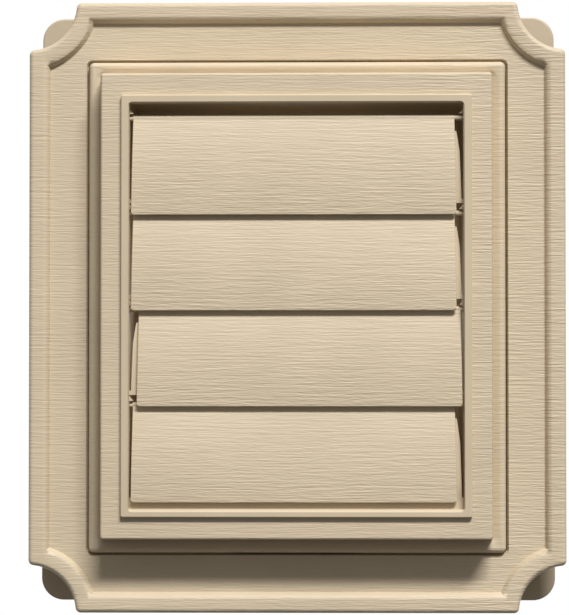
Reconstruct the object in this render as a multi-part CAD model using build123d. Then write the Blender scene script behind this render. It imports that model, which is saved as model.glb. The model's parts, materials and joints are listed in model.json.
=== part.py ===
from build123d import *
from math import asin, cos, degrees, radians, sin, tan
import os

# Scalloped exhaust vent for a sided wall, in millimetres.
# X runs to the right, Z up, and the front faces -Y. The wall plane is y = 0, at the back of the
# nailing flange, and every depth is a distance out of the wall from that plane.

# Trim ring: a scalloped frame that snaps over the base and hides the cut edge of the siding
RING_WIDTH = 184.2
RING_HEIGHT = 209.6
RAIL_WIDTH = 20.2
SCALLOP_RADIUS = 16.3
RING_WALL = 1.8
RING_DEPTH = 4.5
BORDER_WIDTH = 7.1
BORDER_RISE = 2.5
BORDER_OUTER_ROUND = 1.6
BORDER_SLOPE = 2.4
OPENING_CHAMFER = 0.4
SKIRT_WALL = 1.5
SKIRT_DEPTH = 6.8

# Mounting base: nailing flange, hollow box and raised block, one moulding
FLANGE_WIDTH = 178.2
FLANGE_HEIGHT = 202.6
FLANGE_CORNER = 7.7
FLANGE_THICKNESS = 2.0
SIDING_SPACE = 10.5
BASE_WALL = 2.0
STEP_WIDTH = 4.85
STEP_RISE = 2.0
STEP_ROUND = 1.6
STEP_FALL_SHARE = 0.4
STEP_FALL = 0.45
BLOCK_RISE = 11.0
BLOCK_DRAFT = 2.0
FACE_ROUND = 0.9
NAIL_SLOT_LENGTH = 14.0
NAIL_SLOT_WIDTH = 4.4
NAIL_SPACING = 90.0

# Snap fit between ring and base: saw-tooth ribs on the box, hooks on the ring's inner skirt
RIB_HEIGHT = 1.2
RIB_DEPTH = 1.4
RIB_PITCH = 3.2
RIB_COUNT = 3
RIB_LENGTH = 44.0
HOOK_LENGTH = 36.0
HOOK_DEPTH = 1.4
TOOTH_FLAT = 0.4

# Vent body: lip, louver sleeve and round duct collar, one moulding
FACE_SIDE_RAIL = 9.8
FACE_END_RAIL = 10.25
LIP_WIDTH = 2.75
LIP_RISE = 1.6
LIP_ROUND = 0.5
MOUTH_CHAMFER = 0.9
SLEEVE_WALL = 1.5
SLEEVE_DRAFT = 1.0
SLEEVE_CORNER = 0.6
REAR_SETBACK = 1.0
REAR_THICKNESS = 2.0
COLLAR_RADIUS = 50.0
COLLAR_WALL = 2.0
COLLAR_REACH = 40.0
COLLAR_LEAD_IN = 0.8
LATCH_LENGTH = 10.0
LATCH_DEPTH = 5.0
LATCH_HEIGHT = 1.3
LATCH_SPACING = 62.0

# Louvers: bowed flaps that hang from their top edges and swing outwards
LOUVER_COUNT = 4
LOUVER_LAP = 0.5
LOUVER_THICKNESS = 1.0
LOUVER_TOP_LEAN = 11.0
LOUVER_FOOT_LEAN = -3.5
LOUVER_SIDE_GAP = 2.0
LOUVER_FLARE = 0.6
LOUVER_CORNER = 1.0
LOUVER_DRIFTS = (-0.9, -0.9, 1.1, -0.9)
BARREL_RADIUS = 1.0
BARREL_PROUD = 0.06
PIN_RADIUS = 0.9
PIN_LENGTH = 4.4
PIVOT_DROP = 5.0
SILL_GAP = 2.3

# Stops and snap-in ramps inside the sleeve
STOP_WIDTH = 3.2
STOP_THICKNESS = 2.0
STOP_TOP_DROP = 4.5
STOP_FOOT_LIFT = 3.4
STOP_BRIDGE = 1.5
SLOT_TOP = 2.4
SLOT_MIDDLE = 1.2
SLOT_FOOT = 0.6
SLOT_BEND = 0.3
RAMP_WIDTH = 1.3
RAMP_HEIGHT = 1.7
RAMP_DEPTH = 3.4
SILL_STOP_HEIGHT = 4.0

# Clearances, the share of the border's rise that its slope may take, and the overrun of cuts
RING_GAP = 0.4
RIB_TIP_GAP = 0.4
HOOK_TIP_GAP = 0.5
HOOK_PLAY = 0.2
BODY_GAP = 0.3
LATCH_PLAY = 0.2
PIN_PLAY = 0.12
PIN_FACE_GAP = 0.2
STOP_GAP = 0.3
RAMP_GAP = 0.4
CORNER_MARGIN = 0.2
SLOPE_SHARE = 0.95
CUT = 1.0

# Depths out of the wall
RING_BACK = FLANGE_THICKNESS + SIDING_SPACE
PANEL_FRONT = RING_BACK + RING_DEPTH
PANEL_BACK = PANEL_FRONT - RING_WALL
BORDER_FRONT = PANEL_FRONT + BORDER_RISE
STEP_FRONT = PANEL_FRONT + STEP_RISE
FACE_FRONT = STEP_FRONT + BLOCK_RISE
LIP_FRONT = FACE_FRONT + LIP_RISE
REAR_FRONT = REAR_SETBACK + REAR_THICKNESS
PIVOT_DEPTH = FACE_FRONT - BASE_WALL - PIN_FACE_GAP - PIN_RADIUS
SKIRT_BACK = PANEL_BACK - SKIRT_DEPTH
HOOK_FRONT = SKIRT_BACK + HOOK_DEPTH

# Plan sizes that follow from the driving ones
OPENING_WIDTH = RING_WIDTH - 2 * RAIL_WIDTH
OPENING_HEIGHT = RING_HEIGHT - 2 * RAIL_WIDTH
BOX_WIDTH = OPENING_WIDTH - 2 * RING_GAP
BOX_HEIGHT = OPENING_HEIGHT - 2 * RING_GAP
BOX_CORNER = STEP_ROUND + CORNER_MARGIN
OPENING_CORNER = BOX_CORNER + RING_GAP
FACE_WIDTH = BOX_WIDTH - 2 * STEP_WIDTH
FACE_HEIGHT = BOX_HEIGHT - 2 * STEP_WIDTH
BLOCK_CORNER = FACE_ROUND + CORNER_MARGIN
VENT_WIDTH = FACE_WIDTH - 2 * FACE_SIDE_RAIL
VENT_HEIGHT = FACE_HEIGHT - 2 * FACE_END_RAIL
SKIRT_SETBACK = RIB_HEIGHT + RIB_TIP_GAP - RING_GAP
HOOK_HEIGHT = RING_GAP + SKIRT_SETBACK - HOOK_TIP_GAP
NAIL_ROW = (BOX_HEIGHT + FLANGE_HEIGHT) / 4

# Louver section: an arc about one centre, from the pivot down to the free edge
TOP_PIVOT = VENT_HEIGHT / 2 - PIVOT_DROP
LOUVER_PITCH = (VENT_HEIGHT - PIVOT_DROP - LOUVER_LAP - SILL_GAP) / LOUVER_COUNT
LOUVER_DROP = LOUVER_PITCH + LOUVER_LAP
TOP_SINE = sin(radians(LOUVER_TOP_LEAN))
BOW_RADIUS = LOUVER_DROP / (TOP_SINE - sin(radians(LOUVER_FOOT_LEAN)))
LOUVER_FRONT = BOW_RADIUS + BARREL_RADIUS - BARREL_PROUD
LOUVER_BACK = LOUVER_FRONT - LOUVER_THICKNESS
STOP_FRONT = LOUVER_BACK - STOP_GAP


def prism(outline, near, far):
    """A wall-parallel outline, extruded from one depth to another."""
    return extrude(Plane.XZ.offset(near) * outline, far - near)


def front_face(solid):
    """The solid's foremost flat face."""
    return solid.faces().filter_by(Axis.Y).sort_by(Axis.Y)[0]


def on_four_sides(profile, width, height, length, shifts=(0,)):
    """Bars along the sides of a rectangle; the profile's points are (distance outward, depth)."""
    bars = []
    for turn, reach in ((0, width), (90, height), (180, width), (270, height)):
        points = [(reach / 2 + out, -depth) for out, depth in profile]
        section = Plane.XY * make_face(Polyline(*points, close=True))
        bar = extrude(section, length / 2, both=True)
        bars += [Rot(0, turn, 0) * Pos(0, 0, shift) * bar for shift in shifts]
    return bars


def scalloped(inset):
    """The ring's outline moved inwards: a rectangle with a quarter circle bitten from each corner."""
    outline = Rectangle(RING_WIDTH - 2 * inset, RING_HEIGHT - 2 * inset)
    corners = GridLocations(RING_WIDTH, RING_HEIGHT, 2, 2)
    return outline - corners * Circle(SCALLOP_RADIUS + inset)


def opening_outline(grow, corner):
    """The ring's rectangular opening, grown by a margin all round."""
    return RectangleRounded(OPENING_WIDTH + 2 * grow, OPENING_HEIGHT + 2 * grow, corner)


def panel_edges(ring):
    """The front edges of the ring's opening, on the panel inside the border."""
    levels = ring.faces().filter_by(Axis.Y).group_by(Axis.Y)
    return levels[1].sort_by(SortBy.AREA)[-1].inner_wires()[0].edges()


def trim_ring():
    outline = scalloped(0)
    outline = fillet(outline.vertices(), BORDER_OUTER_ROUND + CORNER_MARGIN)
    ring = prism(outline, RING_BACK, BORDER_FRONT)
    ring -= prism(scalloped(BORDER_WIDTH), PANEL_FRONT, BORDER_FRONT + CUT)
    ring = fillet(front_face(ring).outer_wire().edges(), BORDER_OUTER_ROUND)
    slope = min(BORDER_SLOPE, SLOPE_SHARE * BORDER_RISE)
    ring = chamfer(front_face(ring).inner_wires()[0].edges(), slope)

    # The back is hollow, up into the raised border
    ring -= prism(scalloped(RING_WALL), RING_BACK - CUT, PANEL_BACK)
    border_hollow = scalloped(RING_WALL) - scalloped(BORDER_WIDTH - slope)
    ring -= prism(border_hollow, PANEL_BACK - CUT, BORDER_FRONT - RING_WALL)

    # A skirt round the opening carries the hooks
    skirt_inside = opening_outline(SKIRT_SETBACK, OPENING_CORNER + SKIRT_SETBACK)
    skirt = opening_outline(SKIRT_SETBACK + SKIRT_WALL, OPENING_CORNER + SKIRT_SETBACK + SKIRT_WALL)
    ring += prism(skirt - skirt_inside, SKIRT_BACK, PANEL_BACK + RING_WALL / 2)
    ring -= prism(opening_outline(0, OPENING_CORNER), SKIRT_BACK, PANEL_FRONT + CUT)
    ring = chamfer(panel_edges(ring), OPENING_CHAMFER)

    hook = [
        (SKIRT_SETBACK + SKIRT_WALL / 2, HOOK_FRONT),
        (SKIRT_SETBACK - HOOK_HEIGHT, HOOK_FRONT),
        (SKIRT_SETBACK - HOOK_HEIGHT, HOOK_FRONT - TOOTH_FLAT),
        (SKIRT_SETBACK, SKIRT_BACK),
        (SKIRT_SETBACK + SKIRT_WALL / 2, SKIRT_BACK),
    ]
    ring += on_four_sides(hook, OPENING_WIDTH, OPENING_HEIGHT, HOOK_LENGTH)
    return ring


def tapered_box(width, height, back, front, draft, corner):
    """A box between two depths, sized at its front, that widens towards the wall by a draft."""
    flare = (front - back) * tan(radians(draft))
    plan = [
        (-width / 2, -front),
        (width / 2, -front),
        (width / 2 + flare, -back),
        (-width / 2 - flare, -back),
    ]
    side = [
        (-front, -height / 2),
        (-front, height / 2),
        (-back, height / 2 + flare),
        (-back, -height / 2 - flare),
    ]
    across = extrude(Plane.XY * make_face(Polyline(*plan, close=True)), height, both=True)
    upright = extrude(Plane.YZ * make_face(Polyline(*side, close=True)), width, both=True)
    box = across & upright
    return fillet(box.edges().filter_by(Axis.X, reverse=True).filter_by(Axis.Z, reverse=True), corner)


def block(shrink, back, front):
    """The tapered block of the base between two depths, moved inwards by a wall."""
    flare = (FACE_FRONT - front) * tan(radians(BLOCK_DRAFT)) - shrink
    size = (FACE_WIDTH + 2 * flare, FACE_HEIGHT + 2 * flare)
    return tapered_box(*size, back, front, BLOCK_DRAFT, BLOCK_CORNER)


def bead():
    """The box's walls up to the step: rounded outside, with a slight fall towards the block."""
    flare = BLOCK_RISE * tan(radians(BLOCK_DRAFT))
    size = (FACE_WIDTH + 2 * flare, FACE_HEIGHT + 2 * flare)
    walls = RectangleRounded(BOX_WIDTH, BOX_HEIGHT, BOX_CORNER) - RectangleRounded(*size, BLOCK_CORNER)
    box = prism(walls, 0, STEP_FRONT)
    box = fillet(front_face(box).outer_wire().edges(), STEP_ROUND)
    step = front_face(box)
    return chamfer(step.inner_wires()[0].edges(), STEP_FALL_SHARE * STEP_WIDTH, STEP_FALL, reference=step)


def mounting_base():
    flange = RectangleRounded(FLANGE_WIDTH, FLANGE_HEIGHT, FLANGE_CORNER)
    slot = SlotOverall(NAIL_SLOT_LENGTH, NAIL_SLOT_WIDTH)
    slots = GridLocations(NAIL_SPACING, 2 * NAIL_ROW, 2, 2) * slot
    raised = block(0, STEP_FRONT - BASE_WALL, FACE_FRONT)
    raised = fillet(front_face(raised).edges(), FACE_ROUND)
    base = prism(flange - slots, 0, FLANGE_THICKNESS) + bead() + raised

    # Hollow from the back, with one wall thickness everywhere
    inside = Rectangle(BOX_WIDTH - 2 * BASE_WALL, BOX_HEIGHT - 2 * BASE_WALL)
    base -= prism(inside, -CUT, STEP_FRONT - BASE_WALL)
    base -= block(BASE_WALL, STEP_FRONT - BASE_WALL - CUT, FACE_FRONT - BASE_WALL)
    room = SLEEVE_WALL + BODY_GAP
    mouth = RectangleRounded(*throat_size(FACE_FRONT, room), SLEEVE_CORNER + room)
    base -= prism(mouth, FACE_FRONT - BASE_WALL - CUT, FACE_FRONT + CUT)

    for step in range(RIB_COUNT):
        back = HOOK_FRONT + HOOK_PLAY - step * RIB_PITCH
        rib = [
            (-BASE_WALL / 2, back),
            (RIB_HEIGHT, back),
            (RIB_HEIGHT, back + TOOTH_FLAT),
            (0, back + RIB_DEPTH),
            (-BASE_WALL / 2, back + RIB_DEPTH),
        ]
        base += on_four_sides(rib, BOX_WIDTH, BOX_HEIGHT, RIB_LENGTH)
    return base


def throat_size(depth, grow):
    """Width and height inside the sleeve at a depth, grown by a margin; it narrows towards the wall."""
    margin = grow - (LIP_FRONT - depth) * tan(radians(SLEEVE_DRAFT))
    return VENT_WIDTH + 2 * margin, VENT_HEIGHT + 2 * margin


def throat(grow, back, front):
    """The sleeve's inside between two depths, grown by a margin."""
    return tapered_box(*throat_size(front, grow), back, front, -SLEEVE_DRAFT, SLEEVE_CORNER + grow)


def pivot_height(index):
    return TOP_PIVOT - index * LOUVER_PITCH


def side_wall(depth):
    """Distance from the middle to the sleeve's inner side wall at a depth."""
    return throat_size(depth, 0)[0] / 2


def bow_depth():
    """Depth of the axis that the louvers are bowed about."""
    return PIVOT_DEPTH - BOW_RADIUS * cos(radians(LOUVER_TOP_LEAN))


def bowed_strip(index, outer, inner, high, low):
    """Side section of a strip bowed about a louver's centre of curvature, between two leans."""
    centre = (-bow_depth(), pivot_height(index) - BOW_RADIUS * TOP_SINE)
    front = CenterArc(centre, outer, 180 - high, high - low)
    back = CenterArc(centre, inner, 180 - high, high - low)
    return make_face([front, Line(front @ 1, back @ 1), back, Line(front @ 0, back @ 0)])


def lean_at(drop):
    """Lean of the louver's section, in degrees, at a drop below its pivot."""
    return degrees(asin(TOP_SINE - drop / BOW_RADIUS))


def vent_body():
    lip_size = throat_size(LIP_FRONT, LIP_WIDTH)
    body = prism(RectangleRounded(*lip_size, LIP_ROUND + CORNER_MARGIN), FACE_FRONT, LIP_FRONT)
    body = fillet(front_face(body).edges(), LIP_ROUND)
    body += throat(SLEEVE_WALL, REAR_SETBACK, FACE_FRONT + LIP_RISE / 2)
    collar = prism(Circle(COLLAR_RADIUS), -COLLAR_REACH, REAR_FRONT)
    body += chamfer(collar.edges().sort_by(Axis.Y)[-1], COLLAR_LEAD_IN)
    body -= throat(0, REAR_FRONT, LIP_FRONT)
    body -= prism(Circle(COLLAR_RADIUS - COLLAR_WALL), -COLLAR_REACH - CUT, REAR_FRONT + CUT)
    body = chamfer(front_face(body).inner_wires()[0].edges(), MOUTH_CHAMFER)

    # Hooks that spring out behind the base's face once the sleeve is pushed home
    latch_front = FACE_FRONT - BASE_WALL - LATCH_PLAY
    taper = (LIP_FRONT - latch_front) * tan(radians(SLEEVE_DRAFT))
    latch = [
        (SLEEVE_WALL / 2 - taper, latch_front),
        (SLEEVE_WALL + LATCH_HEIGHT - taper, latch_front),
        (SLEEVE_WALL / 2 - taper, latch_front - LATCH_DEPTH),
    ]
    shifts = (-LATCH_SPACING / 2, LATCH_SPACING / 2)
    body += on_four_sides(latch, VENT_WIDTH, VENT_HEIGHT, LATCH_LENGTH, shifts)

    for index in range(LOUVER_COUNT):
        body += louver_stops(index)
        body += snap_ramps(index)
        hole = Plane.YZ * Pos(-PIVOT_DEPTH, pivot_height(index)) * Circle(PIN_RADIUS + PIN_PLAY)
        body -= extrude(hole, VENT_WIDTH, both=True)
    body += sill_stop()
    return body


def louver_stops(index):
    """A bowed ledge by each side wall, just behind the closed louver; the lowest runs into the sill."""
    lowest = index == LOUVER_COUNT - 1
    drops = STOP_TOP_DROP, LOUVER_DROP if lowest else LOUVER_PITCH - STOP_FOOT_LIFT
    leans = [lean_at(drop) for drop in drops]
    section = bowed_strip(index, STOP_FRONT, STOP_FRONT - STOP_THICKNESS, *leans)
    wall = side_wall(PIVOT_DEPTH)
    ledge = extrude(Plane.YZ.offset(wall - STOP_WIDTH) * section, STOP_WIDTH + SLEEVE_WALL / 2)
    ledge -= stop_slot(*[pivot_height(index) - drop for drop in drops])
    return [ledge, mirror(ledge, Plane.YZ)]


def stop_slot(high, low):
    """A slot that narrows downwards and parts a ledge from the wall, down to a bridge at its foot."""
    wall = side_wall(PIVOT_DEPTH)
    foot = low + STOP_BRIDGE
    points = [
        (wall, high + CUT),
        (wall - SLOT_TOP, high + CUT),
        (wall - SLOT_MIDDLE, high - SLOT_BEND * (high - foot)),
        (wall - SLOT_FOOT, foot),
        (wall, foot),
    ]
    return prism(make_face(Polyline(*points, close=True)), REAR_FRONT, LIP_FRONT)


def snap_ramps(index):
    """A wedge above each pin hole that guides the pin in from the front."""
    wall = side_wall(PIVOT_DEPTH)
    foot = pivot_height(index) + BARREL_RADIUS + RAMP_GAP
    points = [
        (wall - RAMP_WIDTH, foot),
        (wall + SLEEVE_WALL / 2, foot),
        (wall + SLEEVE_WALL / 2, foot + RAMP_HEIGHT),
        (wall, foot + RAMP_HEIGHT),
    ]
    front = foot_depth() - RAMP_GAP
    wedge = prism(make_face(Polyline(*points, close=True)), front - RAMP_DEPTH, front)
    return [wedge, mirror(wedge, Plane.YZ)]


def foot_depth():
    """Depth of the back of a closed louver at its free edge."""
    return bow_depth() + LOUVER_BACK * cos(radians(LOUVER_FOOT_LEAN))


def sill_stop():
    """A bar across the sleeve's floor that closes the gap behind the lowest louver."""
    floor = -VENT_HEIGHT / 2
    front = foot_depth() - STOP_GAP
    width = 2 * side_wall(PIVOT_DEPTH) + SLEEVE_WALL
    points = [
        (-front, floor - SLEEVE_WALL / 2),
        (-front, floor + SILL_STOP_HEIGHT),
        (STOP_THICKNESS - front, floor + SILL_STOP_HEIGHT),
        (STOP_THICKNESS - front, floor - SLEEVE_WALL / 2),
    ]
    section = Plane.YZ * make_face(Polyline(*points, close=True))
    return extrude(section, width / 2, both=True)


def louver(index):
    pivot = pivot_height(index)
    half = side_wall(PIVOT_DEPTH) - LOUVER_SIDE_GAP
    section = bowed_strip(index, LOUVER_FRONT, LOUVER_BACK, LOUVER_TOP_LEAN, LOUVER_FOOT_LEAN)
    flap = extrude(Plane.YZ * section, VENT_WIDTH / 2, both=True)
    outline = [
        (-half, pivot + CUT),
        (half, pivot + CUT),
        (half + LOUVER_FLARE, pivot - LOUVER_DROP - CUT),
        (-half - LOUVER_FLARE, pivot - LOUVER_DROP - CUT),
    ]
    flap &= prism(make_face(Polyline(*outline, close=True)), REAR_FRONT, LIP_FRONT)
    foot = flap.edges().filter_by(GeomType.LINE).filter_by(Axis.X, reverse=True).group_by(Axis.Z)[0]
    flap = fillet(foot, LOUVER_CORNER)
    axis = Plane.YZ * Pos(-PIVOT_DEPTH, pivot)
    flap += extrude(axis * Circle(BARREL_RADIUS), half, both=True)
    flap += extrude(axis * Circle(PIN_RADIUS), half + PIN_LENGTH, both=True)
    return Pos(LOUVER_DRIFTS[index], 0, 0) * flap


os.makedirs("parts", exist_ok=True)
export_step(mounting_base(), "parts/mounting_base.step")
export_step(trim_ring(), "parts/trim_ring.step")
export_step(vent_body(), "parts/vent_body.step")
for louver_index in range(LOUVER_COUNT):
    export_step(louver(louver_index), f"parts/louver_{louver_index + 1}.step")
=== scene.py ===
import json
import math

import bpy
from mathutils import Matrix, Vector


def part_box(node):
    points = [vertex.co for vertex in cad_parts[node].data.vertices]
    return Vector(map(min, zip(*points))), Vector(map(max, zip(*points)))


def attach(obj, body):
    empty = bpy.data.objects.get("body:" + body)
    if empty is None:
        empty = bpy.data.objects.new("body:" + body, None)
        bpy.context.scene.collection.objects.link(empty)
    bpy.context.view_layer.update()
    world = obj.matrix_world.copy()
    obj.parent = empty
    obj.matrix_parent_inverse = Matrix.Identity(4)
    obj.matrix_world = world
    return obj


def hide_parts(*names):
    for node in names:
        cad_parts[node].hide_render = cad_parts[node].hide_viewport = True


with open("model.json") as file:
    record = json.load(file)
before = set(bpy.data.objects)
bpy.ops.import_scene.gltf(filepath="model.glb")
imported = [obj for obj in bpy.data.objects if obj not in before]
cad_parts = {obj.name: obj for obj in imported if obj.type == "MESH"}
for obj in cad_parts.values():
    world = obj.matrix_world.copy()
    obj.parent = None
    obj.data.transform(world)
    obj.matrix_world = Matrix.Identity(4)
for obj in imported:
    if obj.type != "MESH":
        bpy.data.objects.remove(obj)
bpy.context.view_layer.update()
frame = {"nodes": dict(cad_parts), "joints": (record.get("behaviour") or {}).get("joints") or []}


# Mounting base
# Nailing flange, hollow box, step and raised block, one injection moulding in almond vinyl.
# It is nailed to the wall; block and step carry the pressed wood grain, the flange is plain.
MM = 0.001
NEAR = 0.02 * MM
MERGE = 0.001 * MM
SHARP_ANGLE = math.radians(50)
SMOOTH_ANGLE = math.radians(32)

BLOCK_FRONT = 30.0 * MM
BLOCK_FOOT = (67.05 * MM, 79.75 * MM)
BLOCK_CORNER = 1.15 * MM
STEP_FRONT = 19.0 * MM
STEP_FALL = 0.45 * MM
STEP_REACH = 2.4 * MM
CREASE_SINK = 0.55 * MM
FLANGE_FRONT = 2.0 * MM
FLANGE_HALF = (89.1 * MM, 101.3 * MM)
FLANGE_CORNER = 7.7 * MM
FLANGE_ROUND = 0.6 * MM

ALMOND = "CDBCA0"
# Share of the almond kept on the flange: painted shade for the flange that sits back behind the ring
FLANGE_PAINTED_SHADE = 0.85
VINYL_ROUGHNESS = (0.44, 0.58)
VINYL_SPECULAR = 0.5
MOTTLES_PER_METRE = 28
MOTTLE_SPAN = (0.3, 0.7)
MOTTLE_TONES = (0.95, 1.03)

# Marks of the grain per metre along X, Y and Z, and how deep they are pressed
WAVES_PER_METRE = (14, 14, 40)
GROOVES_PER_METRE = (62, 60, 1350)
TICKS_PER_METRE = (290, 90, 2300)
WAVE_DRIFT = 1.8 * MM
TICK_SHARE = 0.45
GRAIN_DEPTH = 0.2 * MM
RIGHT_SPAN = (25 * MM, 65 * MM)
RIGHT_GRAIN = (0.94, 1.5)
FRONT_EDGE = (0.7 * MM, 0.07 * MM)
SIDE_GRAIN = 0.6
BLOCK_GRAIN_SHIFT = (3.1, 0.4, 7.7)


def linear(code):
    """Linear RGBA from an sRGB hex code."""
    steps = [int(code[i:i + 2], 16) / 255 for i in (0, 2, 4)]
    return [s / 12.92 if s <= 0.04045 else ((s + 0.055) / 1.055) ** 2.4 for s in steps] + [1]


def add(tree, kind, inputs=None, **settings):
    """Adds a shader node; an input is a constant or another node's output socket."""
    made = tree.nodes.new("ShaderNode" + kind)
    for key, value in settings.items():
        setattr(made, key, value)
    for key, value in (inputs or {}).items():
        if isinstance(value, bpy.types.NodeSocket):
            tree.links.new(value, made.inputs[key])
        else:
            made.inputs[key].default_value = value
    return made


def ramp(tree, value, span, levels, **settings):
    """Turns a span of values into levels, held at both ends."""
    ends = {"From Min": span[0], "From Max": span[1], "To Min": levels[0], "To Max": levels[1]}
    return add(tree, "MapRange", {"Value": value, **ends}, **settings).outputs["Result"]


def product(tree, first, second):
    return add(tree, "Math", {0: first, 1: second}, operation="MULTIPLY").outputs[0]


def stretched_noise(tree, place, per_metre, **inputs):
    """Noise with its own number of marks per metre along each axis."""
    scaled = add(tree, "VectorMath", {0: place, 1: per_metre}, operation="MULTIPLY").outputs[0]
    return add(tree, "TexNoise", {"Vector": scaled, "Scale": 1, **inputs})


def vinyl(name, code):
    """Satin moulded vinyl with faint mottling; returns it with its tree, coordinates and shader."""
    made = bpy.data.materials.new(name)
    made.use_nodes = True
    tree = made.node_tree
    tree.nodes.clear()
    place = add(tree, "TexCoord").outputs["Object"]
    cloud = {"Vector": place, "Scale": MOTTLES_PER_METRE, "Detail": 3, "Roughness": 0.6}
    cloud = add(tree, "TexNoise", cloud).outputs["Fac"]
    tone = add(tree, "ValToRGB", {"Fac": cloud})
    for stop, position, share in zip(tone.color_ramp.elements, MOTTLE_SPAN, MOTTLE_TONES):
        stop.position = position
        stop.color = [share * c for c in linear(code)[:3]] + [1]
    shader = add(tree, "BsdfPrincipled", {
        "Base Color": tone.outputs["Color"],
        "Roughness": ramp(tree, cloud, (0, 1), VINYL_ROUGHNESS),
        "Specular IOR Level": VINYL_SPECULAR,
    })
    add(tree, "OutputMaterial", {"Surface": shader.outputs["BSDF"]})
    return made, tree, place, shader


def press_grain(tree, place, shader, shift, depth, cover):
    """Presses horizontal wood grain into a vinyl: long wavering grooves with short ticks between."""
    wander = add(tree, "VectorMath", {0: place, 1: WAVES_PER_METRE}, operation="MULTIPLY")
    wander = add(tree, "VectorMath", {0: wander.outputs[0], 1: shift}, operation="ADD")
    wave = add(tree, "TexNoise", {"Vector": wander.outputs[0], "Scale": 1, "Detail": 1})
    bent = {0: wave.outputs["Color"], 1: (0, 0, WAVE_DRIFT), 2: place}
    bent = add(tree, "VectorMath", bent, operation="MULTIPLY_ADD").outputs[0]
    groove = stretched_noise(tree, bent, GROOVES_PER_METRE, Detail=3, Roughness=0.55)
    tick = stretched_noise(tree, bent, TICKS_PER_METRE, Detail=1)
    level = {0: tick.outputs["Fac"], 1: TICK_SHARE, 2: groove.outputs["Fac"]}
    level = add(tree, "Math", level, operation="MULTIPLY_ADD").outputs[0]
    relief = {"Height": product(tree, level, cover), "Distance": depth, "Strength": 1}
    tree.links.new(add(tree, "Bump", relief).outputs["Normal"], shader.inputs["Normal"])


def deeper_right(tree, across):
    """Grain depth over the width: the pattern is pressed deeper on the right-hand side."""
    return ramp(tree, across, RIGHT_SPAN, RIGHT_GRAIN, interpolation_type="SMOOTHSTEP")


def moulding(source, name):
    """A copy of a frame node with its loose triangles joined into one skin; the node itself is
    hidden.
    """
    piece = bpy.data.objects.new(name, frame["nodes"][source].data.copy())
    bpy.context.collection.objects.link(piece)
    bpy.ops.object.select_all(action="DESELECT")
    piece.select_set(True)
    bpy.context.view_layer.objects.active = piece
    bpy.ops.object.mode_set(mode="EDIT")
    bpy.ops.mesh.select_all(action="SELECT")
    bpy.ops.mesh.remove_doubles(threshold=MERGE)
    bpy.ops.object.mode_set(mode="OBJECT")
    bpy.ops.mesh.customdata_custom_splitnormals_clear()
    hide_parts(source)
    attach(piece, "frame")
    return piece


def select_points(piece, wanted):
    """Selects the points that meet a test, and stays in edit mode."""
    bpy.ops.object.mode_set(mode="EDIT")
    bpy.ops.mesh.select_mode(type="VERT")
    bpy.ops.mesh.select_all(action="DESELECT")
    bpy.ops.object.mode_set(mode="OBJECT")
    for point in piece.data.vertices:
        point.select = wanted(point.co)
    bpy.ops.object.mode_set(mode="EDIT")


def shift_points(piece, wanted, step):
    """Moves the points that meet a test."""
    select_points(piece, wanted)
    bpy.ops.transform.translate(value=step)
    bpy.ops.object.mode_set(mode="OBJECT")


def round_edges(piece, radius, segments, wanted):
    """Rounds the sharp edges whose ends both meet a test."""
    bpy.ops.object.mode_set(mode="EDIT")
    bpy.ops.mesh.select_mode(type="EDGE")
    bpy.ops.mesh.select_all(action="DESELECT")
    bpy.ops.mesh.edges_select_sharp(sharpness=SHARP_ANGLE)
    bpy.ops.object.mode_set(mode="OBJECT")
    points = piece.data.vertices
    for edge in piece.data.edges:
        edge.select = edge.select and all(wanted(points[v].co) for v in edge.vertices)
    bpy.ops.object.mode_set(mode="EDIT")
    bpy.ops.mesh.bevel(offset=radius, segments=segments, affect="EDGES")
    bpy.ops.object.mode_set(mode="OBJECT")


def flatten(piece):
    """Smooths the rounded edges only: normals follow the large flats."""
    bpy.ops.object.shade_smooth_by_angle(angle=SMOOTH_ANGLE)
    weigh = piece.modifiers.new("weigh", "WEIGHTED_NORMAL")
    weigh.keep_sharp = True
    bpy.ops.object.modifier_apply(modifier=weigh.name)


def finish_with(piece, material):
    """Gives a piece its only material."""
    piece.data.materials.clear()
    piece.data.materials.append(material)


def step_fall(p):
    """Whether a point lies where the step falls away towards the foot of the block."""
    beside = abs(p.x) > BLOCK_FOOT[0] - BLOCK_CORNER or abs(p.z) > BLOCK_FOOT[1] - BLOCK_CORNER
    near = abs(p.x) < BLOCK_FOOT[0] + STEP_REACH and abs(p.z) < BLOCK_FOOT[1] + STEP_REACH
    return beside and near and NEAR < p.y + STEP_FRONT < STEP_FALL + NEAR


def flange_edge(p):
    """Whether a point lies on the front edge of the flange."""
    side, top = FLANGE_HALF[0] - FLANGE_CORNER, FLANGE_HALF[1] - FLANGE_CORNER / 2
    return abs(p.y + FLANGE_FRONT) < NEAR and (abs(p.x) > side or abs(p.z) > top)


base = moulding("mounting_base", "base_moulding")
select_points(base, step_fall)
bpy.ops.transform.resize(
    value=(1, 1 + CREASE_SINK / STEP_FALL, 1), center_override=(0, -STEP_FRONT, 0))
bpy.ops.object.mode_set(mode="OBJECT")
round_edges(base, FLANGE_ROUND, 3, flange_edge)
flatten(base)
material, tree, place, shader = vinyl("vinyl_almond_block_grained", ALMOND)
spot = add(tree, "SeparateXYZ", {0: place}).outputs
front = ramp(tree, spot["Y"], [edge - BLOCK_FRONT for edge in FRONT_EDGE], (SIDE_GRAIN, 1))
raised = ramp(tree, spot["Y"], (-2 * FLANGE_FRONT, -FLANGE_FRONT), (1, 0))
cover = product(tree, product(tree, front, raised), deeper_right(tree, spot["X"]))
press_grain(tree, place, shader, BLOCK_GRAIN_SHIFT, GRAIN_DEPTH, cover)
# The flange's colour is scaled darker here: painted shade for the recessed flange behind the ring,
# not a different plastic
tone = shader.inputs["Base Color"].links[0].from_socket
tone = {0: tone, "Scale": ramp(tree, raised, (0, 1), (FLANGE_PAINTED_SHADE, 1))}
tone = add(tree, "VectorMath", tone, operation="SCALE").outputs[0]
tree.links.new(tone, shader.inputs["Base Color"])
finish_with(base, material)


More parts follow.
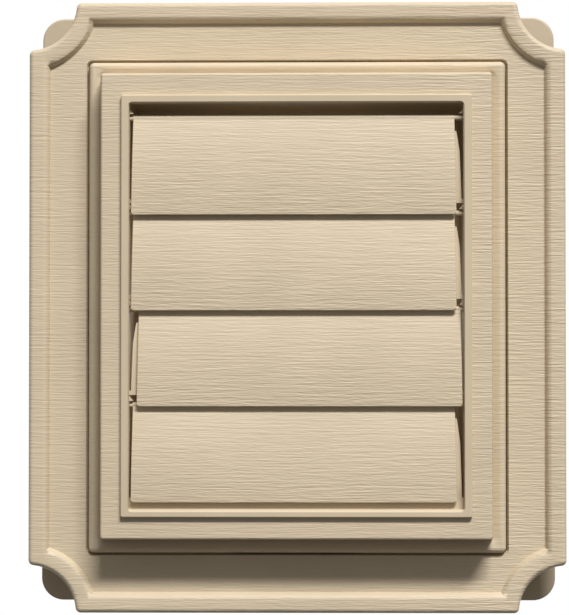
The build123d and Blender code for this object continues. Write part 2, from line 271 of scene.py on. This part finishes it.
# Trim ring
# A scalloped frame with a raised border, moulded hollow in the same vinyl, grained all over.
# It clips over the ribs of the base once the siding is up.
RING_HALF = (92.1 * MM, 104.8 * MM)
SCALLOP = 16.3 * MM
PANEL_FRONT = 17.0 * MM
BORDER_FRONT = 19.5 * MM
BORDER_WIDTH = 7.1 * MM
BORDER_SLOPE = 2.375 * MM
BORDER_ROLL = 0.8
OPENING_SIDE = 69.7 * MM
OPENING_TOP = 82.4 * MM
OPENING_REACH = 5 * MM
OPENING_ROUND = 0.6 * MM
RING_GRAIN_SHIFT = (8.3, 2.2, 1.9)


def border_rise(p):
    """Height of a point up the border's inner slope to 0.01 mm, or 0 if it lies elsewhere."""
    side, top = RING_HALF[0] - abs(p.x), RING_HALF[1] - abs(p.z)
    inset = min(side, top, math.hypot(side, top) - SCALLOP)
    rise = BORDER_SLOPE - BORDER_FRONT - p.y
    on_slope = abs(inset + rise - BORDER_WIDTH) < NEAR and 0 < rise < BORDER_SLOPE
    return round(rise, 5) if on_slope else 0


def opening_edge(p):
    """Whether a point lies on the panel's edge round the opening."""
    near = abs(p.x) < OPENING_SIDE + OPENING_REACH and abs(p.z) < OPENING_TOP + OPENING_REACH
    return near and abs(p.y + PANEL_FRONT) < NEAR


ring = moulding("trim_ring", "ring_moulding")
for rise in sorted({border_rise(v.co) for v in ring.data.vertices} - {0}):
    bulge = BORDER_ROLL * (math.sqrt(rise * (2 * BORDER_SLOPE - rise)) - rise)
    shift_points(ring, lambda p: border_rise(p) == rise, (0, -bulge, 0))
for side in (-1, 1):
    wider = side * OPENING_ROUND
    shift_points(ring, lambda p: opening_edge(p) and side * p.x > OPENING_SIDE, (wider, 0, 0))
    shift_points(ring, lambda p: opening_edge(p) and side * p.z > OPENING_TOP, (0, 0, wider))
flatten(ring)
material, tree, place, shader = vinyl("vinyl_almond_ring_grained", ALMOND)
across = add(tree, "SeparateXYZ", {0: place}).outputs["X"]
press_grain(tree, place, shader, RING_GRAIN_SHIFT, GRAIN_DEPTH, deeper_right(tree, across))
finish_with(ring, material)


# Vent body
# Lip, louver sleeve with stops and pin holes, and the duct collar, one smooth moulding.
# It is pushed through the block from the front and held by eight latches.
BODY_ALMOND = "CBBA9E"
LIP_FRONT = 31.6 * MM
MOUTH = (57.75 * MM, 70.0 * MM)
MOUTH_CORNER = 1.55 * MM
MOUTH_CHAMFER = 0.9 * MM
MOUTH_TRIM = 0.55 * MM
SILL_TOP = -65.0 * MM
SILL_BAR_FRONT = (28.4 * MM, 29.0 * MM)
SILL_BAR_SINK = 0.5 * MM


def mouth_edge(p, depth):
    """Whether a point lies on the sleeve's mouth at a depth out of the wall."""
    near = abs(p.x) > MOUTH[0] - MOUTH_CORNER or abs(p.z) > MOUTH[1] - MOUTH_CORNER
    inside = abs(p.x) < MOUTH[0] + NEAR and abs(p.z) < MOUTH[1] + NEAR
    return near and inside and abs(p.y + depth) < NEAR


def sill_bar(p):
    """Whether a point lies on the front of the bar along the sill."""
    return p.z < SILL_TOP and SILL_BAR_FRONT[0] < -p.y < SILL_BAR_FRONT[1] and abs(p.x) < MOUTH[0]


body = moulding("vent_body", "body_moulding")
side, top = MOUTH[0] - MOUTH_CORNER, MOUTH[1] - MOUTH_CORNER
shift_points(body, lambda p: mouth_edge(p, LIP_FRONT) and p.x > side, (-MOUTH_TRIM, 0, 0))
shift_points(body, lambda p: mouth_edge(p, LIP_FRONT) and p.x < -side, (MOUTH_TRIM, 0, 0))
shift_points(body, lambda p: mouth_edge(p, LIP_FRONT) and p.z > top, (0, 0, -MOUTH_TRIM))
chamfer_back = LIP_FRONT - MOUTH_CHAMFER
shift_points(body, lambda p: mouth_edge(p, chamfer_back) and p.z > -top, (0, -MOUTH_TRIM, 0))
shift_points(body, sill_bar, (0, SILL_BAR_SINK, 0))
flatten(body)
material, tree, place, shader = vinyl("vinyl_almond_smooth", BODY_ALMOND)
finish_with(body, material)


# Louvers
# Four thin bowed flaps with a hinge barrel and pins along the top, each moulded in one piece.
# The pins click into the sleeve's side walls, and each flap hangs shut on its stops.
LOUVER_ALMOND = "CFBEA2"
LOUVER_WIDTH = 109.5 * MM
LOUVER_DROP = 33.1 * MM
LOUVER_THICKNESS = 1.0 * MM
LOUVER_FLARE = 0.6 * MM
LOUVER_FOOT = 0.5 * MM
LOUVER_CORNER = 1.0 * MM
LOUVER_EDGE = 0.3 * MM
LOUVER_COLUMNS = 60
LOUVER_ROWS = 36
TOP_LEAN = math.radians(11)
FOOT_LEAN = math.radians(-3.5)
BOW_RADIUS = LOUVER_DROP / (math.sin(TOP_LEAN) - math.sin(FOOT_LEAN))
BARREL_RADIUS = 1.0 * MM
BARREL_PROUD = 0.06 * MM
PIN_RADIUS = 0.9 * MM
ROD_SIDES = 32
LOUVER_GRAIN = 0.22 * MM
FOOT_TO_TOP_GRAIN = (1.3, 0.65)
LOUVER_GRAIN_SHIFTS = ((1.7, 5.1, 2.3), (6.4, 0.8, 9.2), (3.9, 7.5, 4.6), (9.8, 3.3, 0.7))


def unite(piece, radius, length):
    """Adds a rod along the hinge line to a piece, joined into one skin."""
    bpy.ops.mesh.primitive_cylinder_add(
        vertices=ROD_SIDES, radius=radius, depth=length, rotation=(0, math.pi / 2, 0))
    rod = bpy.context.object
    bpy.ops.object.select_all(action="DESELECT")
    piece.select_set(True)
    bpy.context.view_layer.objects.active = piece
    join = piece.modifiers.new("join", "BOOLEAN")
    join.operation = "UNION"
    join.object = rod
    bpy.ops.object.modifier_apply(modifier=join.name)
    bpy.data.objects.remove(rod)


def lower_corner(p):
    """Whether a point lies at a lower corner of a flap that hangs from the origin."""
    return p.z < -LOUVER_DROP + LOUVER_FOOT and abs(p.x) > LOUVER_WIDTH / 2


for index, grain_shift in enumerate(LOUVER_GRAIN_SHIFTS):
    node = f"louver_{index + 1}"
    pivot = frame["joints"][index]["pos_m"]
    low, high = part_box(node)

    # The top section, flush with the front of the hinge barrel, is swept down about the bow's axis
    bpy.ops.object.select_all(action="DESELECT")
    bpy.ops.mesh.primitive_grid_add(
        x_subdivisions=LOUVER_COLUMNS, y_subdivisions=1, size=1, rotation=(-TOP_LEAN, 0, 0))
    flap = bpy.context.object
    flap.name = f"flap_{index + 1}_moulding"
    flap.scale = (LOUVER_WIDTH, LOUVER_THICKNESS, 1)
    ahead = BARREL_RADIUS - BARREL_PROUD - LOUVER_THICKNESS / 2
    flap.location = (0, -ahead * math.cos(TOP_LEAN), ahead * math.sin(TOP_LEAN))
    bpy.ops.object.transform_apply(location=True, rotation=True, scale=True)
    bpy.ops.object.mode_set(mode="EDIT")
    bpy.ops.mesh.select_all(action="SELECT")
    bpy.ops.mesh.spin(
        steps=LOUVER_ROWS,
        angle=FOOT_LEAN - TOP_LEAN,
        center=(0, BOW_RADIUS * math.cos(TOP_LEAN), -BOW_RADIUS * math.sin(TOP_LEAN)),
        axis=(1, 0, 0))
    bpy.ops.mesh.select_all(action="SELECT")
    bpy.ops.mesh.remove_doubles(threshold=MERGE)
    bpy.ops.mesh.normals_make_consistent(inside=False)
    bpy.ops.object.mode_set(mode="OBJECT")

    # It widens a little towards its foot
    flare = flap.modifiers.new("flare", "SIMPLE_DEFORM")
    flare.deform_method = "TAPER"
    flare.deform_axis = "Z"
    flare.factor = -LOUVER_FLARE / (LOUVER_WIDTH / 2)
    flare.lock_y = True
    bpy.ops.object.modifier_apply(modifier=flare.name)

    # Rounded lower corners, softened edges all round, then the hinge barrel and its pins
    round_edges(flap, LOUVER_CORNER, 5, lower_corner)
    round_edges(flap, LOUVER_EDGE, 3, lambda p: True)
    unite(flap, BARREL_RADIUS, LOUVER_WIDTH)
    unite(flap, PIN_RADIUS, high[0] - low[0])
    flap.location = ((low[0] + high[0]) / 2, pivot[1], pivot[2])
    bpy.ops.object.transform_apply(location=True)
    flatten(flap)

    # The grain is shallow at the top and deepest at the foot
    material, tree, place, shader = vinyl(f"vinyl_almond_louver_{index + 1}_grained", LOUVER_ALMOND)
    height = add(tree, "SeparateXYZ", {0: place}).outputs["Z"]
    cover = ramp(tree, height, (pivot[2] - LOUVER_DROP, pivot[2]), FOOT_TO_TOP_GRAIN)
    press_grain(tree, place, shader, grain_shift, LOUVER_GRAIN, cover)
    finish_with(flap, material)
    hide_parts(node)
    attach(flap, f"flap_{index + 1}")


# Camera, light and backdrop
# A long lens from a little below and to the right, a wide soft box high in front, plain white behind.
DISTANCE = 1.12
PIXEL = 0.3427 * MM
FRAME_HEIGHT = 615
SENSOR = 36.0
ELEVATION = math.radians(-1.9)
AZIMUTH = math.radians(1.5)
AIM = (-4.22 * MM, -BORDER_FRONT, -0.28 * MM)

camera_data = bpy.data.cameras.new("camera")
camera_data.sensor_width = SENSOR
camera_data.lens = SENSOR * DISTANCE / (FRAME_HEIGHT * PIXEL)
camera = bpy.data.objects.new("camera", camera_data)
camera.location = (
    AIM[0] + DISTANCE * math.cos(ELEVATION) * math.sin(AZIMUTH),
    AIM[1] - DISTANCE * math.cos(ELEVATION) * math.cos(AZIMUTH),
    AIM[2] + DISTANCE * math.sin(ELEVATION),
)
camera.rotation_euler = (math.pi / 2 - ELEVATION, 0, AZIMUTH)
bpy.context.collection.objects.link(camera)
bpy.context.scene.camera = camera

LIGHT_PLACE = (1.6, -4.25, 5.27)
LIGHT_SIZE = (3.2, 0.7)
LIGHT_POWER = 630

key_data = bpy.data.lights.new("soft_box", "AREA")
key_data.shape = "RECTANGLE"
key_data.size, key_data.size_y = LIGHT_SIZE
key_data.energy = LIGHT_POWER
key = bpy.data.objects.new("soft_box", key_data)
key.location = LIGHT_PLACE
tilt = math.atan2(math.hypot(LIGHT_PLACE[0], LIGHT_PLACE[1]), LIGHT_PLACE[2])
key.rotation_euler = (tilt, 0, math.atan2(LIGHT_PLACE[0], -LIGHT_PLACE[1]))
bpy.context.collection.objects.link(key)

# The room is seen as white; its light grows with height, and more comes from the wall behind
WHITE = (1, 1, 1, 1)
SKY_SPAN = (-0.6, 0.5)
SKY_LIGHT = (0.13, 0.27)
WALL_SPAN = (0.2, 0.7)
WALL_LIGHT = (0, 0.75)

world = bpy.data.worlds.new("white_room")
bpy.context.scene.world = world
world.use_nodes = True
tree = world.node_tree
tree.nodes.clear()
toward = add(tree, "SeparateXYZ", {0: add(tree, "TexCoord").outputs["Generated"]}).outputs
sky = ramp(tree, toward["Z"], SKY_SPAN, SKY_LIGHT)
wall = ramp(tree, toward["Y"], WALL_SPAN, WALL_LIGHT)
level = add(tree, "Math", {0: sky, 1: wall}, operation="ADD").outputs[0]
fill = add(tree, "Background", {"Color": WHITE, "Strength": level})
seen = add(tree, "Background", {"Color": WHITE, "Strength": 1})
direct = add(tree, "LightPath").outputs["Is Camera Ray"]
mixed = add(tree, "MixShader", {0: direct, 1: fill.outputs[0], 2: seen.outputs[0]})
add(tree, "OutputWorld", {"Surface": mixed.outputs[0]})

bpy.context.scene.view_settings.view_transform = "Standard"
